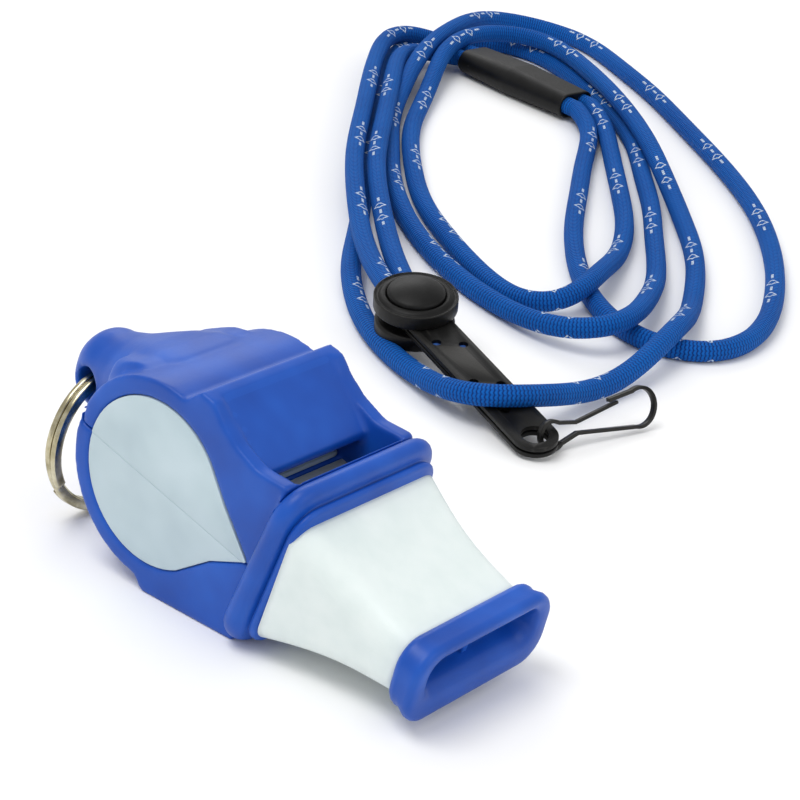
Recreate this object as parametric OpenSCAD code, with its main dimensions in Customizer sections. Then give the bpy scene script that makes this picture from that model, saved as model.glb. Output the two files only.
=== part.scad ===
// Training whistle with a hood, a soft mouth grip, a split ring and a neck lanyard.
// The whistle lies on its foot and its grip flange, nose down. The origin is the
// middle of the foot's flat underside, +X points to the mouth and +Z is up.

/* [Whistle body] */
// Radius of the round rear barrel
barrel_r = 12.8; // [12.2:0.1:14]
// Width across the two side faces
body_w = 22; // [18:0.5:26]
// Radius of the round part of the side plate
plate_r = 10.4; // [9:0.1:11]
// Reach of the side plate's pointed tip, forward of the barrel's centre
plate_tip_x = 15.4; // [13.5:0.1:16]
// Thickness of the side plates
plate_t = 1.6; // [1:0.1:2.4]
// Wall of the sound chamber behind the shell
chamber_wall = 1.6; // [1:0.1:2.4]
// Radial gap between the pale core and the blue shell
core_gap = 0.05; // [0.02:0.01:0.15]

/* [Hood] */
// Forward place of the hood's crest
crest_x = 3.2; // [2:0.1:5]
// Height of the hood's crest above the barrel's centre
crest_z = 15.1; // [14:0.1:17]
// Forward place of the deflector's lower edge
labium_x = 12.5; // [11:0.1:13.5]
// Height of the deflector's lower edge
labium_z = 10; // [9:0.1:11]
// Thickness of the deflector at its lower edge
labium_t = 1.4; // [1:0.1:2]
// Height of the lowest part of the hood's side walls
hood_dip_z = 11.6; // [11:0.1:12.2]
// Wall of the hood at its top edge
hood_wall = 1.4; // [1:0.1:2]

/* [Foot and lug] */
// Forward place of the foot's heel
heel_x = 3; // [1.5:0.1:5]
// Depth of the foot's heel below the barrel's centre
heel_depth = 14; // [13.4:0.1:15.5]
// Distance of the lug's hole behind the barrel's centre
lug_x = 18.6; // [18:0.1:22]
// Depth of the lug's hole below the barrel's centre
lug_depth = 1.3; // [0:0.1:3]
// Radius of the lug's round end
lug_r = 4.3; // [3.8:0.1:5]
// Width of the lug's end
lug_w = 5.6; // [5:0.1:7]
// Radius of the hole through the lug
lug_hole_r = 2.05; // [1.8:0.05:2.2]

/* [Mouth grip] */
// Forward place of the flange's rear face
flange_x = 17.2; // [16.8:0.1:18]
// Thickness of the flange
flange_t = 2.6; // [2:0.1:3.4]
// Width of the flange
flange_w = 26; // [24:0.5:30]
// Height of the flange's top edge
flange_top = 13.1; // [12.4:0.1:15]
// Depth of the flange's bottom edge
flange_depth = 9.7; // [8.8:0.1:10.5]
// Length of the white cover
cover_len = 17.2; // [14:0.1:21]
// Thickness of the white cover
cover_t = 0.9; // [0.6:0.1:1]
// Length of the lip in front of the cover
lip_len = 3.7; // [3:0.1:4.5]
// Width of the lip at its front face
lip_w = 24.2; // [22:0.1:27]
// Width of the mouth slot
slot_w = 17.6; // [14:0.1:19]
// Height of the mouth slot
slot_h = 3.8; // [3:0.1:4.2]

/* [Split ring] */
// Outer diameter of the split ring
ring_d = 19; // [17:0.1:19.4]
// Radial width of the ring's wire
ring_wire = 1.4; // [1.2:0.05:1.5]
// Thickness of one turn of the ring
ring_turn_t = 0.9; // [0.7:0.05:1]

/* [Lanyard] */
// Diameter of the neck cord
cord_d = 3.2; // [2.8:0.1:3.4]
// Length of the slider barrel
slider_len = 28; // [24:0.5:30]
// Width of the slider barrel at its middle
slider_w = 9.4; // [9:0.1:12]
// Height of the slider barrel at its middle
slider_h = 5.6; // [5:0.1:7]
// Radial clearance of each cord in the slider's bore
slider_gap = 0.2; // [0.1:0.05:0.3]
// Diameter of the round cord clamp
clamp_d = 12.2; // [11:0.1:14]
// Thickness of each half of the clamp
clamp_half_t = 2.4; // [1.8:0.1:3]
// Diameter of the clamp's raised button
button_d = 8.4; // [7:0.1:9.5]
// Width of the strap
strap_w = 6.4; // [5.6:0.1:7]
// Length of the strap from the clamp's centre to the eye's centre
strap_len = 33.5; // [30:0.5:40]
// Thickness of one leaf of the strap
leaf_t = 0.6; // [0.5:0.05:0.7]
// Thickness of the flattened cord tails between the leaves
tail_t = 0.4; // [0.3:0.05:0.5]
// Radius of the hole in the strap's eye
eye_hole_r = 1.9; // [1.8:0.1:2.1]
// Width of the rim round the eye
eye_rim = 1.3; // [1.2:0.1:1.5]

/* [Snap hook] */
// Length of the hook between the centres of its two round ends
hook_len = 15.5; // [14:0.5:18]
// Thickness of the hook's flat wire
wire_t = 0.5; // [0.4:0.05:0.55]
// Width of the hook's flat wire
wire_w = 0.8; // [0.6:0.05:0.9]
// Inner radius of the hook's head
head_r = 2.5; // [2.3:0.1:2.9]
// Inner radius of the hook's tail loop
tail_r = 1.7; // [1.6:0.05:1.8]

/* [Hidden] */
$fn = 64;
eps = 0.01;
hull_fn = 32;

// ---- heights and places that several pieces share
bead_x1 = flange_x + flange_t - 0.6;
heel_z = -heel_depth;
flange_z = -flange_depth;
rest_pitch = atan2(flange_z - heel_z, bead_x1 - heel_x);
foot_mid = [(heel_x + flange_x) / 2, heel_z + (flange_x - heel_x) / 2 * tan(rest_pitch)];
step_x = flange_x + flange_t;
cover_x0 = step_x + 0.9;
cover_x1 = cover_x0 + cover_len;
mouth_x = cover_x1 + lip_len;
chamber_r = plate_r - chamber_wall;
cheek_y = body_w / 2 - plate_t;
airway_w = slot_w - 1;
floor_z = 5;
floor_t = 1.1;
floor_end_z = 1.5;
airway_h = 1.9;
slot_z = 4.3;
deflector_w0 = body_w / 2 - hood_wall;
deflector_w1 = airway_w / 2;
parting = [[-40, 9], [-12.9, 9], [-12.4, 0], [cover_x0, 0], [mouth_x + 1, 2.2]];

// ---- puts a piece from the barrel's own frame into the resting pose
module rested()
    rotate([0, rest_pitch, 0]) translate([-foot_mid[0], 0, -foot_mid[1]]) children();

// ---- a side outline in X and Z, made w wide across Y
module across(w)
    rotate([90, 0, 0]) linear_extrude(w, center = true) children();

// ---- a rounded rectangle across Y and Z, made thick from x0 to x1
module slab(x0, x1, half_w, z0, z1, r)
    translate([x0, 0, (z0 + z1) / 2]) rotate([90, 0, 90]) linear_extrude(x1 - x0) {
        square([2 * half_w - 2 * r, z1 - z0], center = true);
        square([2 * half_w, z1 - z0 - 2 * r], center = true);
        for (sy = [-1, 1], sz = [-1, 1])
            translate([sy * (half_w - r), sz * ((z1 - z0) / 2 - r)]) circle(r);
    }

// ---- the soft grip's taper, inset all round by d
module grip_taper(d)
    hull() {
        slab(cover_x0, cover_x0 + 0.1, flange_w / 2 - 0.8 - d, -7.1 + d, 9.8 - d, 2.8 - d, $fn = hull_fn);
        slab(cover_x1 - 0.1, cover_x1, 10.6 - d, -1.7 + d, 6 - d, 3 - d, $fn = hull_fn);
    }

// ---- teardrop outline of the side plates: a round rear and a pointed front
plate_open = 49;
module plate_outline(d = 0)
    polygon(concat([for (k = [0 : 48]) let (a = plate_open + (360 - 2 * plate_open) * k / 48)
        (plate_r + d) * [cos(a), sin(a)]],
        [[10.8 + d, -3.2 - d], [plate_tip_x + d, 0.2], [plate_tip_x + d, 0.4], [10.2 + d, 4.6 + d]]));

// ---- side outline of the whole blue body, hood walls and foot included
module body_outline() {
    circle(barrel_r);
    polygon([[-1, barrel_r - 0.6], [0.8, barrel_r - 0.1], [crest_x - 0.7, crest_z], [crest_x + 1.4, crest_z],
        [crest_x + 3.4, crest_z - 1.5], [crest_x + 6.2, hood_dip_z + 0.7], [labium_x + 0.3, hood_dip_z],
        [flange_x, hood_dip_z + 0.8], [flange_x, heel_z + (flange_x - heel_x) * tan(rest_pitch)],
        [heel_x, heel_z], [heel_x - 1.9, -barrel_r + 0.2], [-2, 0]]);
}

// ---- the open hood above the deflector and the sound slot below it
module hood_space() {
    half = (crest_z + 2 - floor_z);
    intersection() {
        across(body_w) polygon([[crest_x + 0.6, crest_z + 2], [crest_x + 0.6, crest_z],
            [labium_x, labium_z], [labium_x, floor_z], [flange_x, floor_z], [flange_x, crest_z + 2]]);
        translate([crest_x - 1, 0, floor_z]) rotate([90, 0, 90]) linear_extrude(flange_x - crest_x + 2)
            polygon([[-deflector_w1, 0], [-deflector_w1, 1.2], [-deflector_w0, half], [deflector_w0, half],
                [deflector_w1, 1.2], [deflector_w1, 0]]);
    }
    across(airway_w) polygon([[2.2, 8], [3.6, crest_z - 2.6], [labium_x + eps, labium_z - labium_t],
        [labium_x + eps, floor_z], [6, floor_z]]);
}

// ---- seat of the slot's floor, behind the flange
module floor_bed()
    across(airway_w) polygon([[labium_x - 1.7, floor_z + eps], [labium_x - 1.7, floor_z - floor_t - core_gap],
        [flange_x, floor_z - floor_t - core_gap], [flange_x, floor_z + eps]]);

// ---- the windway from the mouth slot to the sound slot
module windway() {
    across(airway_w) polygon([[flange_x - eps, floor_z - floor_t - core_gap], [flange_x - eps, floor_z + airway_h],
        [cover_x1 - 1, slot_z], [cover_x1 + 1, slot_z + 0.4], [cover_x1 + 1, floor_end_z - core_gap],
        [cover_x1, floor_end_z - core_gap]]);
    floor_bed();
    hull() {
        slab(mouth_x - 2.6, mouth_x - 2.5, airway_w / 2, slot_z - 1.5, slot_z + 0.9, 1.1, $fn = hull_fn);
        slab(mouth_x, mouth_x + 0.1, slot_w / 2, slot_z - slot_h / 2, slot_z + slot_h / 2, 1.5, $fn = hull_fn);
    }
}

// ---- the lip round the mouth slot, wider at its front
module lip()
    hull() {
        slab(cover_x1, cover_x1 + 1.4, lip_w / 2 - 0.5, -2.2, 6.9, 3.4, $fn = hull_fn);
        slab(mouth_x - 1.2, mouth_x, lip_w / 2, -2.4, 7.2, 3.4, $fn = hull_fn);
    }

// ---- the rear lug, faired into the barrel
module lug()
    hull() {
        translate([-lug_x, 0, -lug_depth]) rotate([90, 0, 0]) cylinder(r = lug_r, h = lug_w, center = true, $fn = hull_fn);
        translate([-6.5, 0, 5.4]) rotate([90, 0, 0]) cylinder(r = 5.5, h = body_w - 5, center = true, $fn = hull_fn);
        translate([-8.5, 0, -1.6]) rotate([90, 0, 0]) cylinder(r = 3, h = body_w - 6, center = true, $fn = hull_fn);
    }

// ---- the whole blue body, before it is parted into two shells
module body()
    difference() {
        union() {
            across(body_w) body_outline();
            lug();
            slab(flange_x, step_x, flange_w / 2 - 0.6, flange_z + 0.6, flange_top - 0.6, 3.6);
            slab(flange_x + 0.6, bead_x1, flange_w / 2, flange_z, flange_top, 4.2);
            slab(step_x, cover_x0, flange_w / 2 - 0.4, flange_z + 1.5, flange_top - 2.2, 4);
            grip_taper(cover_t);
            lip();
        }
        across(body_w + 1) plate_outline(core_gap);
        translate([-lug_x, 0, -lug_depth]) rotate([90, 0, 0]) cylinder(r = lug_hole_r, h = body_w, center = true);
        hood_space();
        windway();
        across(airway_w) polygon([[flange_x + 1, -4.6], [flange_x + 1, 3], [cover_x1 - 2, 0.9], [cover_x1 - 2, 0]]);
    }

// ---- everything above the parting line, as a solid
module above_parting()
    across(60) polygon(concat(parting, [[mouth_x + 1, 30], [-40, 30]]));

module shell_upper()
    color("royalblue") rested() intersection() {
        body();
        above_parting();
    }

module shell_lower()
    color("mediumblue") rested() difference() {
        body();
        above_parting();
    }

// ---- the pale core, whose sides are the plates that show in the shell
module core()
    difference() {
        across(body_w - 0.1) plate_outline();
        rotate([90, 0, 0]) cylinder(r = chamber_r, h = 2 * cheek_y, center = true);
        across(airway_w) polygon([[2.2, 6], [3, 12], [12, 12], [12, floor_z], [6, floor_z]]);
        floor_bed();
    }

module core_upper()
    color("lightsteelblue") rested() intersection() {
        core();
        translate([-20, -20, 0]) cube([40, 40, 20]);
    }

module core_lower()
    color("lightsteelblue") rested() intersection() {
        core();
        translate([-20, -20, -20]) cube([40, 40, 20]);
    }

// ---- thin wall that parts the sound chamber into a left and a right half
module chamber_divider()
    color("lightsteelblue") rested() rotate([90, 0, 0])
        cylinder(r = chamber_r - core_gap, h = 1.2, center = true);

// ---- pale floor of the sound slot and the windway
module airway_floor()
    color("silver") rested() across(airway_w - 0.1)
        polygon([[labium_x - 1.6, floor_z - floor_t], [labium_x - 1.6, floor_z], [flange_x, floor_z],
            [cover_x1, floor_end_z + floor_t], [cover_x1, floor_end_z], [flange_x, floor_z - floor_t]]);

// ---- small web that stands in the middle of the windway
module mouth_divider()
    color("royalblue") rested() across(0.9)
        polygon([[flange_x + 4, floor_z - 0.4], [flange_x + 4, floor_z + 1.1], [cover_x1 - 1.2, slot_z - 0.1],
            [cover_x1 - 1.2, 2.8]]);

// ---- white cover stretched over the mouthpiece
module grip_cover()
    color("whitesmoke") rested() difference() {
        grip_taper(0);
        grip_taper(cover_t - core_gap);
        slab(cover_x0 - 1, cover_x0 + 0.12, flange_w / 2 - 0.8 - cover_t, -7.1 + cover_t, 9.8 - cover_t, 1.9);
        slab(cover_x1 - 0.12, cover_x1 + 1, 10.6 - cover_t, -1.7 + cover_t, 6 - cover_t, 2.1);
    }

// ---- split ring of two flat turns, hanging from the lug's hole
lug_hole = [(-lug_x - foot_mid[0]) * cos(rest_pitch) + (-lug_depth - foot_mid[1]) * sin(rest_pitch),
    (lug_x + foot_mid[0]) * sin(rest_pitch) + (-lug_depth - foot_mid[1]) * cos(rest_pitch)];
ring_mid_z = lug_hole[1] - (ring_d / 2 - ring_wire / 2) + 0.7;
turn_gap = 0.02;
turn_span = 352;
module ring_turn(z0, start, span, inset)
    rotate([0, 0, start]) rotate_extrude(angle = span)
        translate([ring_d / 2 - ring_wire + inset, z0]) square([ring_wire - 2 * inset, ring_turn_t]);
module split_ring()
    color("darkkhaki") translate([lug_hole[0], 0, ring_mid_z]) rotate([0, 90, 0]) {
        ring_turn(-ring_turn_t - turn_gap, 200, turn_span, 0);
        ring_turn(turn_gap, 220, turn_span, 0);
        ring_turn(-ring_turn_t / 2, 30, 20, 0.2);
    }

// ---- lanyard, which lies on the floor behind the whistle
slider_mid = [-94, 176];
slider_turn = -9;
slider_z = slider_h / 2;
strand_y = cord_d / 2 + 0.4;
function slider_pt(x, s) = [slider_mid[0] + x * cos(slider_turn) - s * strand_y * sin(slider_turn),
    slider_mid[1] + x * sin(slider_turn) + s * strand_y * cos(slider_turn), slider_z];

// Route of the cord, from one end at the clamp, through the slider, round the coils
// of the neck loop and back through the slider to the clamp. Heights are the middle
// of the cord: lying on the floor, riding half up on a strand, or right over one.
low = cord_d / 2;
mid = low + 1.6;
high = low + cord_d + 0.1;
over = high - 0.1;
bore_pts = [-16.5, -6, 6, 17];
cord_route = concat(
    [[-37, 69, 6.6], [-45, 75, 6], [-54, 83, over], [-66, 95, over], [-83, 114, over], [-98, 134, over],
     [-110, 150, over], [-119, 163, over], [-123.5, 171, over], [-124, 177, 4.6], [-120, 181, 2.9], [-114, 181.4, 2.4]],
    [for (x = bore_pts) slider_pt(x, 1)],
    [[-72, 171.5, 2.5], [-67.5, 166.5, 2], [-59.5, 157, low], [-49, 144.5, low], [-39, 132, low],
     [-32, 120, low], [-28.5, 111, 3.4], [-25.5, 104, high], [-23.5, 97, 3.6], [-26, 92.5, low], [-31, 91.8, low],
     [-41, 96, low], [-53, 103, low], [-66, 112, low], [-79, 125, low], [-91, 139, low], [-99, 152, low],
     [-106, 164, mid], [-111.3, 173, 5.2], [-112.8, 181, 5.6], [-113.5, 188, 5.2], [-110, 194, high],
     [-103, 195.5, high], [-92, 190, high], [-78, 181, high], [-66, 171.5, high], [-56, 162.5, high],
     [-46, 153.5, mid], [-35, 143, low], [-23, 129, low], [-12, 111, low], [-8, 103, 4.2], [-5.5, 95.5, high],
     [-4, 87, 3.6], [-3.5, 79, low], [-4.6, 72, 2.2], [-4.4, 66, 3.8], [-4.4, 60, 5.6], [-6.5, 55.3, 5.8],
     [-11, 53.6, 4.8], [-17, 56, 3], [-25, 59.5, low], [-35, 63.5, low], [-45, 71, low], [-55, 81, low],
     [-66, 96, low], [-82, 116, low], [-98, 136, low], [-109, 153, low], [-118.5, 165.5, low], [-124, 178, low],
     [-122.5, 187, low], [-116, 193.5, low], [-106, 196, low], [-92, 189.5, low], [-77, 180.5, low], [-62.5, 168, low],
     [-52.5, 156, low], [-42.5, 144.5, low], [-33, 131.5, low], [-23, 118, low], [-16, 104, mid + 0.4],
     [-12.5, 96, high], [-11.5, 90, high], [-14.5, 85.5, 4.4], [-22, 86, 2.6], [-34, 89, low], [-47, 94, low],
     [-60, 102, low], [-75, 115, low], [-88, 130, low], [-96.5, 140, low], [-103.5, 151.5, 3], [-110, 163, 4.6],
     [-114.5, 173, 5.5], [-117, 182, 5.6], [-120.5, 192, high], [-122, 203, mid], [-117, 211, low], [-105, 211, low],
     [-92, 204, low], [-77, 195, low], [-62, 184, low], [-46, 172, low], [-31, 159, low], [-18, 144, low],
     [-8, 129, low], [-1, 114, low], [0, 102, low], [-6, 96, low], [-16, 97, low], [-27, 104.5, low],
     [-37, 115, low], [-46, 127, low], [-54, 139.5, low], [-61, 150, low], [-67, 160, low], [-71.5, 167, 2.4]],
    [for (x = [17, 6, -6, -16.5]) slider_pt(x, -1)],
    [[-115, 176.6, 2.3], [-118.6, 173.5, 2.4], [-116.8, 167.5, 3.8], [-110.2, 157, over], [-102, 146, over],
     [-91, 131, over], [-77, 112.5, over], [-61, 95.5, over], [-50, 84.5, 5.2], [-42, 77, 6], [-35.5, 71.5, 6.6]]);

// ---- points of a round tube about a route
function unit(v) = v / max(norm(v), eps);
function route_dir(p, i) = unit(p[min(i + 1, len(p) - 1)] - p[max(i - 1, 0)]);
module tube(p, r, sides) {
    n = len(p);
    points = [for (i = [0 : n - 1]) let (d = route_dir(p, i), a = unit(cross([0, 0, 1], d)), b = cross(d, a))
        for (k = [0 : sides - 1]) p[i] + r * (cos(360 * k / sides) * a + sin(360 * k / sides) * b)];
    walls = [for (i = [0 : n - 2], k = [0 : sides - 1]) let (k2 = (k + 1) % sides)
        [i * sides + k, (i + 1) * sides + k, (i + 1) * sides + k2, i * sides + k2]];
    polyhedron(points, concat(walls, [[for (k = [0 : sides - 1]) k]],
        [[for (k = [sides - 1 : -1 : 0]) (n - 1) * sides + k]]));
}
module neck_cord()
    color("dodgerblue") tube(cord_route, cord_d / 2, 8);

// ---- slider barrel, an oval sleeve that both strands of the cord pass through
module slider_section(x, w, h)
    translate([x, 0, 0]) rotate([90, 0, 90]) linear_extrude(0.1, center = true) {
        square([w - h, h], center = true);
        for (s = [-1, 1]) translate([s * (w - h) / 2, 0]) circle(h / 2, $fn = hull_fn);
    }
module slider_barrel()
    color("black") translate([slider_mid[0], slider_mid[1], slider_z]) rotate([0, 0, slider_turn]) difference() {
        union() {
            hull() {
                slider_section(-slider_len / 2, slider_w - 0.9, slider_h - 1.1);
                slider_section(-1, slider_w, slider_h);
            }
            hull() {
                slider_section(-1, slider_w, slider_h);
                slider_section(slider_len / 2, slider_w - 0.9, slider_h - 1.1);
            }
        }
        for (s = [-1, 1]) translate([0, s * strand_y, 0]) rotate([0, 90, 0])
            cylinder(r = cord_d / 2 + slider_gap, h = slider_len + 2, center = true);
    }

// ---- clamp and strap: x runs from the clamp's centre to the eye, z is across the leaves
strap_turn = -20.5;
strap_fall = 7.4;
strap_roll = 8;
clamp_at = [-31.3, 67.4, 6.25];
module fitting()
    translate(clamp_at) rotate([0, 0, strap_turn]) rotate([0, strap_fall, 0]) rotate([strap_roll, 0, 0]) children();

leaf_z = tail_t / 2;
clamp_z = leaf_z + leaf_t;
rivet_r = 1.2;
tail_w = strap_w - 2;
strap_holes = [[9, -1.5], [11, 1.7], [19.5, -1.5], [21.5, 1.7], [27, -0.9]];

module clamp_cap()
    color("dimgray") fitting() difference() {
        translate([0, 0, clamp_z]) rotate_extrude() difference() {
            translate([0, 0]) square([clamp_d / 2, clamp_half_t]);
            translate([clamp_d / 2 - 0.5, clamp_half_t]) rotate(45) square(0.8, center = true);
        }
        translate([0, 0, clamp_z + clamp_half_t - 1]) cylinder(d = button_d + 0.1, h = 2);
        cylinder(r = rivet_r + 0.05, h = 20, center = true);
    }

module clamp_button()
    color("dimgray") fitting() translate([0, 0, clamp_z + clamp_half_t - 1 + core_gap]) intersection() {
        cylinder(d = button_d, h = 2.6);
        translate([0, 0, 2.4 - 9]) sphere(9);
    }

module clamp_base()
    color("dimgray") fitting() difference() {
        translate([0, 0, -clamp_z - clamp_half_t]) cylinder(d = clamp_d - 0.6, h = clamp_half_t);
        cylinder(r = rivet_r + 0.05, h = 20, center = true);
    }

module clamp_rivet()
    color("gray") fitting() translate([0, 0, -clamp_z - clamp_half_t + 0.3])
        cylinder(r = rivet_r, h = 2 * clamp_z + 2 * clamp_half_t - 1.4);

// ---- outline of one leaf of the strap, with its eye
module leaf_outline() {
    eye_r = eye_hole_r + eye_rim;
    difference() {
        union() {
            translate([-5, -strap_w / 2]) square([strap_len - 4 + 5 - 2, strap_w]);
            hull() {
                translate([strap_len - 8, -strap_w / 2]) square([1, strap_w]);
                translate([strap_len, 0]) circle(eye_r);
            }
        }
        translate([strap_len, 0]) circle(eye_hole_r);
        circle(rivet_r + 0.05);
    }
}
module strap_upper()
    color("black") fitting() translate([0, 0, leaf_z]) difference() {
        linear_extrude(leaf_t) leaf_outline();
        for (h = strap_holes) translate([h[0], h[1], -1]) cylinder(r = 0.7, h = 3);
    }
module strap_lower()
    color("black") fitting() translate([0, 0, -leaf_z - leaf_t]) linear_extrude(leaf_t) leaf_outline();

// ---- flattened ends of the cord, held between the two leaves
module cord_tails()
    color("dodgerblue") fitting() difference() {
        translate([-4, -tail_w / 2, -tail_t / 2]) cube([strap_len - 12, tail_w, tail_t]);
        cylinder(r = rivet_r + 0.05, h = 10, center = true);
    }

// ---- snap hook of flat wire, looped through the strap's eye
hook_turn = 77;
hook_dip = 4.4;
hook_tilt = 66;
hook_gap = 0.08;
hook_aim = hook_turn - strap_turn;
rim_aim = 85;
rim_mid = eye_hole_r + eye_rim / 2;
module hook_place()
    fitting() translate([strap_len + rim_mid * cos(rim_aim), rim_mid * sin(rim_aim), 0]) rotate([0, hook_dip, hook_aim])
        rotate([hook_tilt, 0, 0]) linear_extrude(wire_w, center = true) children();
neck_x = tail_r + 2.6;
neck_y = 0.75;
nose_x = hook_len - 5.2;
head_y = head_r + wire_t / 2;

// ---- a straight stretch of wire between two points
module bar(a, b)
    translate(a) rotate(atan2(b[1] - a[1], b[0] - a[0])) translate([0, -wire_t / 2])
        square([norm(b - a), wire_t]);
// ---- a round stretch of wire from angle a0 to a1
module bend(r, a0, a1)
    intersection() {
        difference() {
            circle(r + wire_t);
            circle(r);
        }
        polygon(concat([[0, 0]], [for (k = [0 : 6]) 3 * r * [cos(a0 + (a1 - a0) * k / 6), sin(a0 + (a1 - a0) * k / 6)]]));
    }

tail_mid_r = tail_r + wire_t / 2;
tail_a = 48;
tail_pt = tail_mid_r * [cos(tail_a), sin(tail_a)];
head_a = 112;
head_pt = (head_r + wire_t / 2) * [cos(head_a), sin(head_a)];
module hook_frame()
    color("black") hook_place() {
        bend(tail_r, tail_a, 360 - tail_a);
        bar([tail_pt[0], -tail_pt[1]], [neck_x, -neck_y]);
        bar([neck_x - 0.1, -neck_y], [hook_len + head_pt[0], -head_pt[1]]);
        translate([hook_len, 0]) bend(head_r, -head_a, head_a);
        bar([hook_len + head_pt[0] + 0.15, head_pt[1]], [nose_x, head_y - 0.45]);
        bar(tail_pt, [neck_x, neck_y]);
    }

// ---- spring arm of the hook, whose tip closes on the inside of its nose
module hook_gate()
    color("black") hook_place()
        bar([neck_x + hook_gap, neck_y], [nose_x + 1.5, head_y - 0.53 - wire_t]);

shell_upper();
shell_lower();
core_upper();
core_lower();
chamber_divider();
airway_floor();
mouth_divider();
grip_cover();
split_ring();
neck_cord();
slider_barrel();
clamp_cap();
clamp_button();
clamp_base();
clamp_rivet();
strap_upper();
strap_lower();
cord_tails();
hook_frame();
hook_gate();
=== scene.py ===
"""A training whistle with a split ring and a coiled neck lanyard, on a pale floor."""
import math

import bmesh
import bpy
from mathutils import Matrix, Vector


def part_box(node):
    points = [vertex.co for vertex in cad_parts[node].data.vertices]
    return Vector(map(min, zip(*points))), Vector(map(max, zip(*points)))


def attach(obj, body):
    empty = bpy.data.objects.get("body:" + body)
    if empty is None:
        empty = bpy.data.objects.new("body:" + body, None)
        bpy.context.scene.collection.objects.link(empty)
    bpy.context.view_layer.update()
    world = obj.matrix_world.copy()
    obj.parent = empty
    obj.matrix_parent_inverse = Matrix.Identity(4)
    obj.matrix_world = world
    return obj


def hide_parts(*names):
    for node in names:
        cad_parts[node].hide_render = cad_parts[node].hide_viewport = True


MM = 0.001
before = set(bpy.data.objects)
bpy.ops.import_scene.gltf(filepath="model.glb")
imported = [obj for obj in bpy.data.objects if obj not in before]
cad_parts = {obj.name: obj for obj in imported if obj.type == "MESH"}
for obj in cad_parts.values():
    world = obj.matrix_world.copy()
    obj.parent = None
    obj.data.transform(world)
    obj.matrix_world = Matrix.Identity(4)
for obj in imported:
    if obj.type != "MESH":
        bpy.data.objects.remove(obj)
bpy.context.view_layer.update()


# ---- sizes, all in millimetres, in the whistle's own frame: x to the mouth, z up, from the barrel's centre
# where the whistle rests: the foot's heel and the flange's lower edge, and the middle of the foot
HEEL_X = 3
HEEL_DEPTH = 14
FLANGE_X = 17.2
FLANGE_REST_X = 19.2
FLANGE_DEPTH = 9.7
PITCH = math.atan2(HEEL_DEPTH - FLANGE_DEPTH, FLANGE_REST_X - HEEL_X)
FOOT_X = (HEEL_X + FLANGE_X) / 2
FOOT_Z = -HEEL_DEPTH + (FLANGE_X - HEEL_X) / 2 * math.tan(PITCH)

# the mouthpiece: its rolled flange, where the shells are cut behind it, the cover and the mouth
BEAD_X = 16.6
NECK_CUT_X = BEAD_X + 0.8
COVER_X0 = 20.7
COVER_X1 = 37.9
COVER_WALL = 0.8
MOUTH_X = 41.6

# the lug, behind the barrel at -LUG_X, and where the lower shell is cut for it
LUG_X = 18.6
LUG_Z = -1.3
LUG_R = 4.4
LUG_HOLE_R = 2.1
SEAM_X = -12.7

# the ring and the cord
RING_D = 19
RING_WIRE = 1.4
RING_TURN = 0.9
CORD_D = 3.2

# the camera, in the row frame in metres
CAMERA_AT = (0.16666, -0.19599, 0.14669)
CAMERA_RIGHT = (0.7620, 0.6386, 0.1081)
CAMERA_BACK = (0.5454, -0.7227, 0.4246)
CAMERA_LENS = 112.6
CAMERA_SENSOR = 36

# how finely the soft moulded pieces are meshed, and how many passes round them
SHELL_VOXEL = 0.30
SHELL_PASSES = 8
REAR_PASSES = 14
SLEEVE_VOXEL = 0.16
SLEEVE_PASSES = 5


def place():
    """Matrix from the whistle's own millimetres to the row frame in metres."""
    turn = Matrix.Rotation(PITCH, 4, "Y")
    return Matrix.Scale(MM, 4) @ turn @ Matrix.Translation((-FOOT_X, 0, -FOOT_Z))


# ---- camera
def make_camera():
    data = bpy.data.cameras.new("camera")
    data.lens = CAMERA_LENS
    data.sensor_width = CAMERA_SENSOR
    data.clip_start = 0.01
    camera = bpy.data.objects.new("camera", data)
    bpy.context.collection.objects.link(camera)
    right = Vector(CAMERA_RIGHT).normalized()
    back = Vector(CAMERA_BACK).normalized()
    up = back.cross(right).normalized()
    turn = Matrix((up.cross(back), up, back)).transposed().to_4x4()
    camera.matrix_world = Matrix.Translation(CAMERA_AT) @ turn
    bpy.context.scene.camera = camera


make_camera()


# ---- helpers for meshes
def new_object(name, mesh, body, replaced=()):
    """A smooth-shaded piece that rides its body and stands in for CAD nodes."""
    piece = bpy.data.objects.new(name, mesh)
    bpy.context.collection.objects.link(piece)
    mesh.polygons.foreach_set("use_smooth", [True] * len(mesh.polygons))
    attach(piece, body)
    if replaced:
        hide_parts(*replaced)
    return piece


def mesh_from(bm, name, matrix=None):
    """Closes a bmesh into a mesh whose place is in its points."""
    bmesh.ops.remove_doubles(bm, verts=bm.verts, dist=1e-6)
    if matrix is not None:
        bmesh.ops.transform(bm, matrix=matrix, verts=bm.verts)
    bmesh.ops.recalc_face_normals(bm, faces=bm.faces)
    mesh = bpy.data.meshes.new(name)
    bm.to_mesh(mesh)
    bm.free()
    return mesh


def applied(piece):
    """Bakes a piece's modifiers into its mesh."""
    depsgraph = bpy.context.evaluated_depsgraph_get()
    mesh = bpy.data.meshes.new_from_object(piece.evaluated_get(depsgraph))
    piece.modifiers.clear()
    piece.data = mesh
    return piece


def copy_of(nodes):
    """A merged copy of CAD nodes, with flat regions joined into single faces."""
    bm = bmesh.new()
    for node in nodes:
        bm.from_mesh(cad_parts[node].data)
    bmesh.ops.remove_doubles(bm, verts=bm.verts, dist=2e-6)
    bmesh.ops.dissolve_limit(bm, angle_limit=math.radians(0.6), verts=bm.verts, edges=bm.edges)
    return bm


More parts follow.
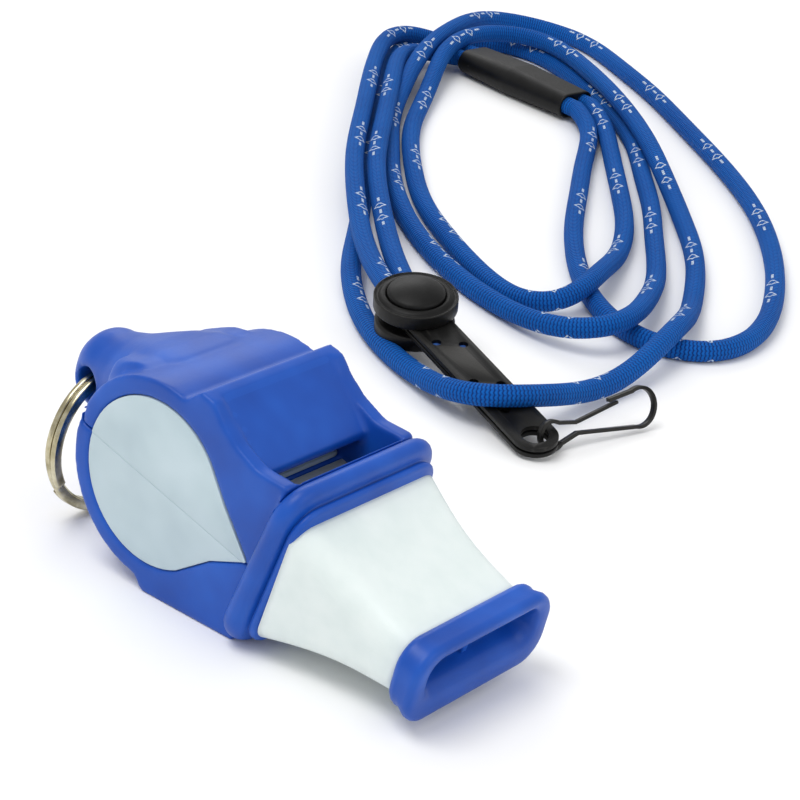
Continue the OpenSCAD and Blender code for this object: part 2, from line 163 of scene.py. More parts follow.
def edged(name, node, body, width, segments=2):
    """A CAD node's shape with its edges rounded off by width millimetres."""
    piece = new_object(name, mesh_from(copy_of([node]), name), body, (node,))
    bevel = piece.modifiers.new("edges", "BEVEL")
    bevel.width = width * MM
    bevel.segments = segments
    bevel.limit_method = "ANGLE"
    bevel.angle_limit = math.radians(28)
    bevel.harden_normals = True
    return applied(piece)


def moulded(name, nodes, body, voxel, passes, soft_zone=None, soft_passes=0, shape=None):
    """A CAD node's shape as soft moulded plastic, with every edge and crease run out."""
    bm = copy_of(nodes)
    if shape:
        shape(bm)
    piece = new_object(name, mesh_from(bm, name), body, nodes)
    remesh = piece.modifiers.new("even", "REMESH")
    remesh.mode = "VOXEL"
    remesh.voxel_size = voxel * MM
    remesh.use_smooth_shade = True
    applied(piece)
    if soft_zone:
        group = piece.vertex_groups.new(name="soft")
        for vert in piece.data.vertices:
            weight = soft_zone(vert.co)
            if weight > 0:
                group.add([vert.index], weight, "REPLACE")
        ease = piece.modifiers.new("ease", "SMOOTH")
        ease.factor = 0.5
        ease.iterations = soft_passes
        ease.vertex_group = "soft"
    smooth = piece.modifiers.new("round", "SMOOTH")
    smooth.factor = 0.5
    smooth.iterations = passes
    applied(piece)
    piece.vertex_groups.clear()
    piece.data.polygons.foreach_set("use_smooth", [True] * len(piece.data.polygons))
    return piece


def outline(half_w, z0, z1, radius, corner_steps):
    """A rounded rectangle across y and z, as points in order."""
    radius = min(radius, half_w, (z1 - z0) / 2)
    corners = ((half_w - radius, z1 - radius), (radius - half_w, z1 - radius),
               (radius - half_w, z0 + radius), (half_w - radius, z0 + radius))
    points = []
    for corner, (y, z) in enumerate(corners):
        for step in range(corner_steps + 1):
            turn = math.radians(90 * corner + 90 * step / corner_steps)
            points.append((y + radius * math.cos(turn), z + radius * math.sin(turn)))
    return points


def hoops(rows, corner_steps):
    """Rounded rectangles as rings of points. Each row is x, half width, lower z, upper z, corner radius."""
    return [[(x, y, z) for y, z in outline(half_w, z0, z1, radius, corner_steps)]
            for x, half_w, z0, z1, radius in rows]


def skin(bm, rings, closed=False):
    """Joins rings of points into one surface, capped at both ends or closed from the last to the first."""
    loops = []
    for ring in rings:
        verts = [bm.verts.new(point) for point in ring]
        loops.append([bm.edges.new((verts[i - 1], verts[i])) for i in range(len(verts))])
    pairs = list(zip(loops, loops[1:]))
    if closed:
        pairs.append((loops[-1], loops[0]))
    for first, second in pairs:
        bmesh.ops.bridge_loops(bm, edges=first + second)
    if not closed:
        bmesh.ops.contextual_create(bm, geom=loops[0])
        bmesh.ops.contextual_create(bm, geom=loops[-1])


def eased(a, b, t):
    """The value a part t of the way from a to b."""
    return a + (b - a) * t


# ---- the neck cord, along the same route as in the CAD model, in millimetres of the row frame
# LOW lies on the floor, MID half over another strand, HIGH and OVER on top of one
LOW = CORD_D / 2
MID = LOW + 1.6
HIGH = LOW + CORD_D + 0.1
OVER = HIGH - 0.1
# the slider's middle and turn, its bores, and how near them the cord is held straight
SLIDER_MID = (-94, 176)
SLIDER_TURN = math.radians(-9)
SLIDER_Z = 2.8
STRAND_Y = CORD_D / 2 + 0.4
HELD_ALONG = 16.5
HELD_ACROSS = 3.5
KNOT_STEPS = 24
CORD_STEP = 0.8
CORD_PASSES = 110


def slider_point(x, side):
    """A point on one of the slider's two bores."""
    shift = side * STRAND_Y
    return (SLIDER_MID[0] + x * math.cos(SLIDER_TURN) - shift * math.sin(SLIDER_TURN),
            SLIDER_MID[1] + x * math.sin(SLIDER_TURN) + shift * math.cos(SLIDER_TURN), SLIDER_Z)


ROUTE = (
    [(-37, 69, 6.6), (-45, 75, 6), (-54, 83, OVER), (-66, 95, OVER), (-83, 114, OVER), (-98, 134, OVER),
     (-110, 150, OVER), (-119, 163, OVER), (-123.5, 171, OVER), (-124, 177, 4.6), (-120, 181, 2.9),
     (-114, 181.4, 2.4)]
    + [slider_point(x, 1) for x in (-16.5, -6, 6, 17)]
    + [(-72, 171.5, 2.5), (-67.5, 166.5, 2), (-59.5, 157, LOW), (-49, 144.5, LOW), (-39, 132, LOW),
       (-32, 120, LOW), (-28.5, 111, 3.4), (-25.5, 104, HIGH), (-23.5, 97, 3.6), (-26, 92.5, LOW),
       (-31, 91.8, LOW), (-41, 96, LOW), (-53, 103, LOW), (-66, 112, LOW), (-79, 125, LOW),
       (-91, 139, LOW), (-99, 152, LOW), (-106, 164, MID), (-111.3, 173, 5.2), (-112.8, 181, 5.6),
       (-113.5, 188, 5.2), (-110, 194, HIGH), (-103, 195.5, HIGH), (-92, 190, HIGH), (-78, 181, HIGH),
       (-66, 171.5, HIGH), (-56, 162.5, HIGH), (-46, 153.5, MID), (-35, 143, LOW), (-23, 129, LOW),
       (-12, 111, LOW), (-8, 103, 4.2), (-5.5, 95.5, HIGH), (-4, 87, 3.6), (-3.5, 79, LOW),
       (-4.6, 72, 2.2), (-4.4, 66, 3.8), (-4.4, 60, 5.6), (-6.5, 55.3, 5.8), (-11, 53.6, 4.8),
       (-17, 56, 3), (-25, 59.5, LOW), (-35, 63.5, LOW), (-45, 71, LOW), (-55, 81, LOW), (-66, 96, LOW),
       (-82, 116, LOW), (-98, 136, LOW), (-109, 153, LOW), (-118.5, 165.5, LOW), (-124, 178, LOW),
       (-122.5, 187, LOW), (-116, 193.5, LOW), (-106, 196, LOW), (-92, 189.5, LOW), (-77, 180.5, LOW),
       (-62.5, 168, LOW), (-52.5, 156, LOW), (-42.5, 144.5, LOW), (-33, 131.5, LOW), (-23, 118, LOW),
       (-16, 104, MID + 0.4), (-12.5, 96, HIGH), (-11.5, 90, HIGH), (-14.5, 85.5, 4.4), (-22, 86, 2.6),
       (-34, 89, LOW), (-47, 94, LOW), (-60, 102, LOW), (-75, 115, LOW), (-88, 130, LOW),
       (-96.5, 140, LOW), (-103.5, 151.5, 3), (-110, 163, 4.6), (-114.5, 173, 5.5), (-117, 182, 5.6),
       (-120.5, 192, HIGH), (-122, 203, MID), (-117, 211, LOW), (-105, 211, LOW), (-92, 204, LOW),
       (-77, 195, LOW), (-62, 184, LOW), (-46, 172, LOW), (-31, 159, LOW), (-18, 144, LOW),
       (-8, 129, LOW), (-1, 114, LOW), (0, 102, LOW), (-6, 96, LOW), (-16, 97, LOW), (-27, 104.5, LOW),
       (-37, 115, LOW), (-46, 127, LOW), (-54, 139.5, LOW), (-61, 150, LOW), (-67, 160, LOW),
       (-71.5, 167, 2.4)]
    + [slider_point(x, -1) for x in (17, 6, -6, -16.5)]
    + [(-115, 176.6, 2.3), (-118.6, 173.5, 2.4), (-116.8, 167.5, 3.8), (-110.2, 157, OVER),
       (-102, 146, OVER), (-91, 131, OVER), (-77, 112.5, OVER), (-61, 95.5, OVER), (-50, 84.5, 5.2),
       (-42, 77, 6), (-35.5, 71.5, 6.6)]
)


def smooth_line(points, step):
    """An even line of points along a smooth curve through the given ones."""
    knots = [Vector(p) for p in points]
    knots = [2 * knots[0] - knots[1]] + knots + [2 * knots[-1] - knots[-2]]
    dense = []
    for a, b, c, d in zip(knots, knots[1:], knots[2:], knots[3:]):
        t1 = (b - a).length ** 0.5
        t2 = t1 + (c - b).length ** 0.5
        t3 = t2 + (d - c).length ** 0.5
        for k in range(KNOT_STEPS):
            t = t1 + (t2 - t1) * k / KNOT_STEPS
            ab = a.lerp(b, t / t1)
            bc = b.lerp(c, (t - t1) / (t2 - t1))
            cd = c.lerp(d, (t - t2) / (t3 - t2))
            near = ab.lerp(bc, t / t2)
            far = bc.lerp(cd, (t - t1) / (t3 - t1))
            dense.append(near.lerp(far, (t - t1) / (t2 - t1)))
    dense.append(knots[-2])
    even = [dense[0]]
    spare = 0.0
    for a, b in zip(dense, dense[1:]):
        span = (b - a).length
        while spare + span >= step:
            a = a.lerp(b, (step - spare) / span)
            even.append(a)
            span = (b - a).length
            spare = 0.0
        spare += span
    return even


def bore_place(point):
    """Where a point inside or just outside the slider lies on its bore's axis, or None elsewhere."""
    dx = point.x - SLIDER_MID[0]
    dy = point.y - SLIDER_MID[1]
    along = dx * math.cos(SLIDER_TURN) + dy * math.sin(SLIDER_TURN)
    across = dy * math.cos(SLIDER_TURN) - dx * math.sin(SLIDER_TURN)
    if abs(along) > HELD_ALONG or abs(across) > HELD_ACROSS:
        return None
    return Vector(slider_point(along, math.copysign(1, across)))


def relaxed(line, passes):
    """Runs out the small kinks between the given points, with the ends and the slider's strands held."""
    fixed = [bore_place(point) for point in line]
    line = [still or point for still, point in zip(fixed, line)]
    for _ in range(passes):
        eased_line = [line[0]]
        for a, b, c, still in zip(line, line[1:], line[2:], fixed[1:]):
            eased_line.append(b if still else a * 0.25 + b * 0.5 + c * 0.25)
        line = eased_line + [line[-1]]
    for point in line:
        point.z = max(point.z, LOW)
    return line


def length_of(line):
    """Length along a line of points, in their own unit."""
    return sum((b - a).length for a, b in zip(line, line[1:]))


def make_cord():
    """The cord as a round tube, with its line of points in millimetres."""
    line = relaxed(smooth_line(ROUTE, CORD_STEP), CORD_PASSES)
    curve = bpy.data.curves.new("neck_cord_line", "CURVE")
    curve.dimensions = "3D"
    curve.bevel_depth = CORD_D / 2 * MM
    curve.bevel_resolution = 5
    curve.use_fill_caps = True
    curve.twist_mode = "Z_UP"
    spline = curve.splines.new("POLY")
    spline.points.add(len(line) - 1)
    for point, place_at in zip(spline.points, line):
        point.co = (*(place_at * MM), 1)
    carrier = bpy.data.objects.new("carrier", curve)
    bpy.context.collection.objects.link(carrier)
    depsgraph = bpy.context.evaluated_depsgraph_get()
    mesh = bpy.data.meshes.new_from_object(carrier.evaluated_get(depsgraph))
    bpy.data.objects.remove(carrier)
    return new_object("cord_cover", mesh, "lanyard", ("neck_cord",)), line


cord, cord_line = make_cord()
cord_length = length_of(cord_line) * MM


# ---- materials: a socket that takes arithmetic, and one way to make any other node
MIX_FACTOR = 0
MIX_FIRST = 6
MIX_SECOND = 7
MIX_RESULT = 2


class Wire:
    """A value in a material's nodes."""

    def __init__(self, paint, socket):
        self.paint = paint
        self.socket = socket

    def _math(self, operation, *values):
        return self.paint.node("ShaderNodeMath", dict(operation=operation), dict(enumerate(values)))

    def __add__(self, other):
        return self._math("ADD", self, other)

    def __sub__(self, other):
        return self._math("SUBTRACT", self, other)

    def __rsub__(self, other):
        return self._math("SUBTRACT", other, self)

    def __mul__(self, other):
        return self._math("MULTIPLY", self, other)

    def __truediv__(self, other):
        return self._math("DIVIDE", self, other)

    def __pow__(self, other):
        return self._math("POWER", self, other)

    def __gt__(self, other):
        return self._math("GREATER_THAN", self, other)

    def __lt__(self, other):
        return self._math("LESS_THAN", self, other)

    __radd__ = __add__
    __rmul__ = __mul__

    def fract(self):
        return self._math("FRACT", self)

    def size(self):
        return self._math("ABSOLUTE", self)

    def most(self, other):
        return self._math("MAXIMUM", self, other)

    def between(self, low, high):
        """0 below low, 1 above high, smooth between."""
        values = dict(enumerate((self, low, high, 0.0, 1.0)))
        return self.paint.node("ShaderNodeMapRange", dict(interpolation_type="SMOOTHSTEP"), values)


class Paint:
    """A material under construction."""

    def __init__(self, name):
        self.material = bpy.data.materials.new(name)
        self.material.use_nodes = True
        self.tree = self.material.node_tree
        self.shader = self.tree.nodes["Principled BSDF"]

    def node(self, kind, settings=None, inputs=None, output=0):
        """Makes a node of any kind and gives one of its outputs."""
        made = self.tree.nodes.new(kind)
        for name, value in (settings or {}).items():
            if name == "stops":
                ramp = made.color_ramp
                while len(ramp.elements) < len(value):
                    ramp.elements.new(0.5)
                for element, (at, color) in zip(ramp.elements, value):
                    element.position = at
                    element.color = (*color, 1)
            else:
                setattr(made, name, value)
        for key, value in (inputs or {}).items():
            self.put(made.inputs[key], value)
        return Wire(self, made.outputs[output])

    def put(self, socket, value):
        """Links a wire to a socket, or sets a plain value there. A colour may leave its alpha out."""
        if isinstance(value, Wire):
            self.tree.links.new(value.socket, socket)
            return
        held = socket.default_value
        if hasattr(held, "__len__") and len(held) == 4 and len(value) == 3:
            value = (*value, 1)
        socket.default_value = value

    def coordinate(self, kind):
        return self.node("ShaderNodeTexCoord", output=kind)

    def parts(self, vector):
        split = self.node("ShaderNodeSeparateXYZ", inputs={0: vector})
        return [Wire(self, output) for output in split.socket.node.outputs]

    def noise(self, size, detail=3.0, rough=0.55, stretch=(1, 1, 1)):
        """Cloudy noise whose features are about size millimetres wide."""
        stretched = {"Vector": self.coordinate("Object"), "Scale": stretch}
        place_in = self.node("ShaderNodeMapping", inputs=stretched)
        inputs = {"Vector": place_in, "Scale": 1000.0 / size, "Detail": detail, "Roughness": rough}
        return self.node("ShaderNodeTexNoise", inputs=inputs)

    def ramp(self, value, *stops):
        """Colours along a value. Each stop is a place and a colour."""
        return self.node("ShaderNodeValToRGB", dict(stops=stops), {0: value})

    def blend(self, factor, first, second):
        """The first colour where the factor is 0 and the second where it is 1."""
        inputs = {MIX_FACTOR: factor, MIX_FIRST: first, MIX_SECOND: second}
        return self.node("ShaderNodeMix", dict(data_type="RGBA"), inputs, MIX_RESULT)

    def bump(self, height, distance, strength=1.0):
        """A normal from a height, where a height of 1 stands distance millimetres proud."""
        inputs = {"Strength": strength, "Distance": distance * MM, "Height": height}
        return self.node("ShaderNodeBump", inputs=inputs)

    def finish(self, **values):
        """Sets the shader's inputs, named with underscores for spaces, and gives the material."""
        for name, value in values.items():
            self.put(self.shader.inputs[name.replace("_", " ")], value)
        return self.material


def whistle_height(paint):
    """Height in the whistle's own millimetres, nought at the parting of the shells."""
    x, _, z = paint.parts(paint.coordinate("Object"))
    return x * (math.sin(PITCH) / MM) + z * (math.cos(PITCH) / MM) + FOOT_Z


def wear(paint, amount):
    """Light rubbing where a surface stands proud."""
    pointed = paint.node("ShaderNodeNewGeometry", output="Pointiness")
    return pointed.between(0.52, 0.60) * amount


GRAIN = 0.012


def moulded_plastic(name, color, deep, light, rough, coat, seam=0.0):
    """Satin moulded plastic: slow colour drift, a fine spark-eroded grain and polished high spots."""
    paint = Paint(name)
    drift = paint.noise(9, 2)
    fine = paint.noise(0.55, 4, 0.65)
    dust = paint.noise(2.3, 5, 0.6)
    tone = paint.ramp(drift, (0.3, deep), (0.52, color), (0.75, light))
    tone = paint.blend((dust - 0.6).most(0.0) * 0.5, tone, light)
    tone = paint.blend(wear(paint, 0.35), tone, light)
    if seam:
        line = 1.0 - whistle_height(paint).size().between(0.03, 0.11)
        tone = paint.blend(line * seam, tone, deep)
    gloss = rough + (drift - 0.5) * 0.10 + (fine - 0.5) * 0.10
    scratches = paint.noise(1.6, 4, 0.6, (0.25, 1.6, 1.2))
    raised = paint.bump(fine + scratches * 0.35, GRAIN)
    return paint.finish(Base_Color=tone, Roughness=gloss, Normal=raised, Coat_Weight=coat,
                        Coat_Roughness=0.22, Specular_IOR_Level=0.34)


def soft_cover(name):
    """Near-white elastomer, slightly mint, with faint flow marks along the grip."""
    paint = Paint(name)
    cloud = paint.noise(7, 3)
    flow = paint.noise(1.4, 4, 0.6, (0.2, 1.0, 1.0))
    fine = paint.noise(0.35, 3)
    tone = paint.ramp(cloud, (0.3, (0.71, 0.795, 0.78)), (0.55, (0.77, 0.845, 0.83)),
                      (0.8, (0.81, 0.875, 0.86)))
    tone = paint.blend((flow - 0.55).most(0.0) * 0.35, tone, (0.62, 0.72, 0.71))
    gloss = 0.36 + (flow - 0.5) * 0.12 + (cloud - 0.5) * 0.08
    return paint.finish(Base_Color=tone, Roughness=gloss, Normal=paint.bump(fine + flow, GRAIN),
                        Subsurface_Weight=0.12, Subsurface_Radius=(0.004, 0.004, 0.004),
                        Subsurface_Scale=0.2, Coat_Weight=0.1, Coat_Roughness=0.3)


def nickel_wire(name):
    """Bright nickel with a warm cast, drawn along the wire and dulled in patches."""
    paint = Paint(name)
    drawn = paint.noise(0.5, 4, 0.6, (3.0, 0.5, 0.5))
    patch = paint.noise(2.6, 3)
    tone = paint.ramp(patch, (0.3, (0.22, 0.19, 0.10)), (0.52, (0.50, 0.45, 0.30)),
                      (0.75, (0.72, 0.68, 0.52)))
    gloss = 0.2 + (patch - 0.5) * 0.2 + (drawn - 0.5) * 0.18
    return paint.finish(Base_Color=tone, Metallic=1.0, Roughness=gloss, Normal=paint.bump(drawn, 0.01))


def black_finish(name, rough, speck):
    """Black plastic or coating with specks of the given size and rubbed edges."""
    paint = Paint(name)
    cloud = paint.noise(3, 3)
    fine = paint.noise(speck, 4, 0.65)
    tone = paint.ramp(cloud, (0.3, (0.002, 0.002, 0.002)), (0.6, (0.005, 0.005, 0.005)),
                      (0.85, (0.010, 0.010, 0.009)))
    tone = paint.blend(wear(paint, 0.4), tone, (0.05, 0.048, 0.044))
    gloss = rough + (cloud - 0.5) * 0.14 + (fine - 0.5) * 0.14
    return paint.finish(Base_Color=tone, Roughness=gloss, Normal=paint.bump(fine, 0.015),
                        Specular_IOR_Level=0.2)


# the knit's rib and its columns of stitches around the cord, and the woven marks in it: one each MARK_PITCH
# along the cord, MARK_GROUP of them in every MARK_REPEAT places
RIB = 0.62
COLUMNS = 14
MARK_PITCH = 2.6
MARK_GROUP = 5
MARK_REPEAT = 12


def knitted_cord(name, length_mm):
    """Round knit: ribs across the cord made of small slanted stitches, with pale diamonds and dashes, and
    painted shade that darkens the blue down in the grooves between ribs and stitch columns.
    """
    paint = Paint(name)
    along, around, _ = paint.parts(paint.coordinate("UV"))
    run = along * length_mm
    column = around * COLUMNS
    lean = (column.fract() - 0.5).size() * 0.55
    stitch = (run / RIB + lean).fract()
    rib = 1.0 - ((stitch - 0.5).size() * 2.0) ** 2.2
    groove = (1.0 - ((column.fract() - 0.5).size() * 2.0) ** 4.0) * 0.35 + 0.65
    height = rib * groove
    fuzz = paint.noise(0.22, 4, 0.7)
    drift = paint.noise(14, 2)
    cell = (run / MARK_PITCH).fract()
    across = ((around * 2.0).fract() - 0.5).size() * CORD_D * math.pi / 2
    spread = (cell - 0.5).size() * MARK_PITCH / 1.05 + across / 1.15
    diamond = spread.between(0.62, 0.72) * (1.0 - spread.between(0.98, 1.08))
    ends = (cell - 0.5).size() * MARK_PITCH
    dash = (1.0 - ends.between(0.7, 0.8)) * (1.0 - across.between(0.16, 0.26))
    odd = (run / (2 * MARK_PITCH)).fract() > 0.5
    shape = diamond * odd + dash * (1.0 - odd)
    grouped = (run / (MARK_REPEAT * MARK_PITCH)).fract() < MARK_GROUP / MARK_REPEAT
    pale = shape * grouped * (stitch - 0.15).between(0.0, 0.1)
    # painted shade: the blue follows the knit's height, darkest in the grooves between ribs and stitch
    # columns, with random fuzz and drift on top
    knit_tone_with_painted_groove_shade = paint.ramp(height * 0.75 + (fuzz - 0.5) * 0.5 + (drift - 0.5) * 0.3,
                      (0.05, (0.0, 0.016, 0.10)), (0.45, (0.001, 0.076, 0.36)),
                      (0.85, (0.002, 0.125, 0.48)))
    tone = paint.blend(pale * 0.9, knit_tone_with_painted_groove_shade, (0.62, 0.72, 0.82))
    gloss = 0.72 + (fuzz - 0.5) * 0.2
    raised = paint.bump(height + fuzz * 0.25, 0.16, 0.8)
    return paint.finish(Base_Color=tone, Roughness=gloss, Normal=raised, Sheen_Weight=0.06,
                        Sheen_Roughness=0.4, Sheen_Tint=(0.1, 0.35, 0.9), Specular_IOR_Level=0.15)


def flat_knit(name):
    """The cord's flattened tails, which show through the strap's holes."""
    paint = Paint(name)
    fine = paint.noise(0.4, 4, 0.7)
    tone = paint.ramp(fine, (0.3, (0.006, 0.03, 0.16)), (0.7, (0.03, 0.14, 0.5)))
    return paint.finish(Base_Color=tone, Roughness=0.8, Normal=paint.bump(fine, 0.1))


def plain_grey(name):
    """Dull grey plastic, for the floor of the sound slot."""
    paint = Paint(name)
    fine = paint.noise(0.5, 4, 0.6)
    tone = paint.ramp(paint.noise(4, 3), (0.3, (0.40, 0.45, 0.48)), (0.7, (0.50, 0.55, 0.58)))
    gloss = 0.6 + (fine - 0.5) * 0.2
    return paint.finish(Base_Color=tone, Roughness=gloss, Normal=paint.bump(fine, 0.02))


BLUE = moulded_plastic("royal_blue_plastic", color=(0.004, 0.074, 0.43), deep=(0.003, 0.058, 0.36),
                       light=(0.008, 0.098, 0.51), rough=0.42, coat=0.04)
PALE = moulded_plastic("pale_blue_grey_plastic", color=(0.50, 0.615, 0.66), deep=(0.43, 0.54, 0.59),
                       light=(0.55, 0.66, 0.71), rough=0.5, coat=0.0, seam=1.0)
GREY = plain_grey("slot_floor_grey")
WHITE = soft_cover("cover_elastomer")
NICKEL = nickel_wire("warm_nickel")
KNIT = knitted_cord("blue_knit", cord_length / MM)
TAIL_KNIT = flat_knit("flattened_knit")
BLACK = black_finish("black_moulding", rough=0.44, speck=0.5)
STRAP = black_finish("black_strap_coating", rough=0.46, speck=0.3)
HOOK = black_finish("black_wire_coating", rough=0.36, speck=0.25)


def dress(piece, material):
    piece.data.materials.clear()
    piece.data.materials.append(material)


dress(cord, KNIT)


# ---- the whistle
def rear_zone(at):
    """Weight of the extra easing on the lug and its fairing, by place in the row frame."""
    x = at.x / MM
    z = at.z / MM
    return max(0.0, min(1.0, (-11 - x) / 5)) * max(0.0, min(1.0, (z - 8) / 4))


def trimmed(bm, limit_x, toward=1):
    """Cuts away what lies past limit_x, towards the mouth (toward 1) or the lug (toward -1)."""
    whole = place()
    at = whole @ Vector((limit_x, 0, 0))
    along = (whole.to_3x3() @ Vector((toward, 0, 0))).normalized()
    geom = bm.verts[:] + bm.edges[:] + bm.faces[:]
    cut = bmesh.ops.bisect_plane(bm, geom=geom, plane_co=at, plane_no=along, clear_outer=True)
    rim = [edge for edge in cut["geom_cut"] if isinstance(edge, bmesh.types.BMEdge)]
    bmesh.ops.holes_fill(bm, edges=rim, sides=0)


def lug_solid():
    """A bullet-shaped lug that spreads into the barrel, with the ring's hole across it."""
    tip_steps = 7
    rows = []
    for k in range(1, tip_steps + 1):
        turn = math.radians(90 * k / tip_steps)
        r = LUG_R * math.sin(turn)
        rows.append((-LUG_X - LUG_R * math.cos(turn), r * 0.96, LUG_Z - r, LUG_Z + r * 1.5, r))
    rows += [(-16, 4.9, -5.8, 6.6, 4.4), (-13.5, 5.9, -6.0, 8.3, 4.2), (-11.5, 7.0, -6.4, 9.6, 4.4),
             (-9, 8.4, -6.4, 10.8, 4.8), (-6.5, 9.2, -6, 11.5, 5.2), (-3, 9.2, -4, 11.8, 5.4)]
    bm = bmesh.new()
    skin(bm, hoops(rows, 6))
    lug = bpy.data.objects.new("lug", mesh_from(bm, "lug"))
    bm = bmesh.new()
    across = Matrix.Translation((-LUG_X, 0, LUG_Z)) @ Matrix.Rotation(math.pi / 2, 4, "X")
    bmesh.ops.create_cone(bm, cap_ends=True, segments=40, depth=30, matrix=across,
                          radius1=LUG_HOLE_R, radius2=LUG_HOLE_R)
    drill = bpy.data.objects.new("drill", mesh_from(bm, "drill"))
    for helper in (lug, drill):
        bpy.context.collection.objects.link(helper)
    cut = lug.modifiers.new("hole", "BOOLEAN")
    cut.operation = "DIFFERENCE"
    cut.object = drill
    applied(lug)
    mesh = lug.data
    mesh.transform(place())
    for helper in (lug, drill):
        bpy.data.objects.remove(helper)
    return mesh


def with_lug(bm):
    trimmed(bm, NECK_CUT_X)
    bm.from_mesh(lug_solid())


def without_lug(bm):
    trimmed(bm, NECK_CUT_X)
    trimmed(bm, SEAM_X, -1)


upper = moulded("upper_shell", ("shell_upper",), "whistle", SHELL_VOXEL, SHELL_PASSES,
                rear_zone, REAR_PASSES, with_lug)
lower = moulded("lower_shell", ("shell_lower",), "whistle", SHELL_VOXEL, SHELL_PASSES,
                shape=without_lug)
for shell in (upper, lower):
    dress(shell, BLUE)


def bead(x0, x1, half_w, z0, z1, radius, swell, steps):
    """Rows of a rolled edge between x0 and x1 that swells out by its own radius."""
    rows = []
    for k in range(steps + 1):
        turn = math.pi * k / steps
        out = swell * (math.sin(turn) - 1)
        x = (x0 + x1) / 2 - (x1 - x0) / 2 * math.cos(turn)
        rows.append((x, half_w + out, z0 - out, z1 + out, max(0.6, radius + out)))
    return rows


def lean_back(x, z):
    """How far the flange's foot and the lip's foot stand back of their tops."""
    if x > COVER_X1 - 1:
        return -0.10 * (z - 2.4)
    return 0.09 * (z - 2) * max(0.0, 1 - (x - BEAD_X) / 8)


def make_mouthpiece():
    """The flange, the neck under the cover and the lip, drawn out in one with the mouth's slot in it."""
    flange = [(BEAD_X + 0.2, 10.4, -7.6, 10.4, 3.2)]
    flange += bead(BEAD_X, 19.5, 13.1, -10.1, 13.2, 4.4, 1.3, 10)
    flange += [(19.6, 11.7, -8.3, 11.6, 3.4)]
    flange += bead(19.65, 20.75, 12.15, -8.5, 11.3, 3.5, 0.45, 6)
    neck = [(21.0, 11.3, -6.2, 8.9, 2.2), (29, 9.9, -3.6, 6.6, 2.2), (COVER_X1 - 0.6, 9.7, -0.8, 5.1, 2.2),
            (COVER_X1, 10.0, -1.2, 5.5, 2.4)]
    lip = bead(COVER_X1 + 0.02, COVER_X1 + 2.0, 11.75, -2.2, 6.95, 3.4, 0.8, 6)[:5]
    lip += [(MOUTH_X - 1.0, 12.1, -2.4, 7.2, 3.5), (MOUTH_X - 0.45, 12.05, -2.35, 7.15, 3.45),
            (MOUTH_X - 0.12, 11.8, -2.1, 6.9, 3.2), (MOUTH_X, 11.4, -1.7, 6.5, 2.9)]
    slot = [(MOUTH_X - 0.05, 10.0, -0.1, 6.1, 2.4), (MOUTH_X - 0.3, 9.6, 0.4, 5.95, 2.1),
            (MOUTH_X - 0.9, 9.35, 1.0, 5.8, 1.9), (MOUTH_X - 1.5, 9.2, 1.35, 5.6, 1.7),
            (MOUTH_X - 2.6, 9.0, 1.45, 5.2, 1.4), (COVER_X1 - 0.4, 8.6, 1.45, 4.6, 1.1),
            (30, 8.2, 1.2, 5.4, 0.9), (19, 8.2, 0.6, 7.2, 1.0), (BEAD_X + 0.2, 8.2, 0.6, 7.4, 1.0)]
    rings = [[(x + lean_back(x, z), y, z) for x, y, z in hoop]
             for hoop in hoops(flange + neck + lip + slot, 8)]
    bm = bmesh.new()
    skin(bm, rings, closed=True)
    mesh = mesh_from(bm, "mouthpiece", place())
    dress(new_object("mouthpiece_roll", mesh, "whistle"), BLUE)


make_mouthpiece()


def make_web():
    """The thin web in the middle of the windway, with a rounded front edge."""
    half_w = 0.45
    side = ((24, 0.4), (24, 4.4), (35, 4.2), (38.4, 4.3), (39.2, 3.0), (39.2, 1.5))
    bm = bmesh.new()
    skin(bm, [[(x, y, z) for x, z in side] for y in (-half_w, half_w)])
    bmesh.ops.bevel(bm, geom=bm.edges[:], offset=0.18, segments=3, profile=0.5, affect="EDGES", material=-1)
    mesh = mesh_from(bm, "web", place())
    dress(new_object("mouth_web", mesh, "whistle", ("mouth_divider",)), BLUE)


make_web()
for core in ("core_upper", "core_lower"):
    dress(edged(core + "_plates", core, "whistle", 0.16), PALE)
dress(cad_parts["chamber_divider"], PALE)
dress(edged("slot_floor", "airway_floor", "whistle", 0.08, 1), GREY)


def make_cover():
    """The stretched cover: hollow, flared at both ends and drawn in between."""
    rows = []
    steps = 18
    for k in range(steps + 1):
        t = k / steps
        x = eased(COVER_X0, COVER_X1 + 0.1, t)
        dip = math.sin(math.pi * t) ** 1.2
        half_w = eased(12.2, 10.6, t) - 0.55 * dip
        z0 = eased(-7.1, -1.75, t ** 0.9) + 0.35 * dip
        z1 = eased(9.8, 6.05, t ** 0.9) - 0.45 * dip
        rows.append((x, half_w, z0, z1, eased(2.8, 3.2, t)))
    inner = [(x, half_w - COVER_WALL, z0 + COVER_WALL, z1 - COVER_WALL, r - 0.6)
             for x, half_w, z0, z1, r in rows]
    bm = bmesh.new()
    skin(bm, hoops(rows + inner[::-1], 8), closed=True)
    mesh = mesh_from(bm, "cover", place())
    dress(new_object("grip_cover_skin", mesh, "whistle", ("grip_cover",)), WHITE)


make_cover()


# ---- the split ring, one wire wound twice
RING_START = math.radians(215)
RING_WOUND = math.radians(712)
RING_CROSSING = math.radians(34)


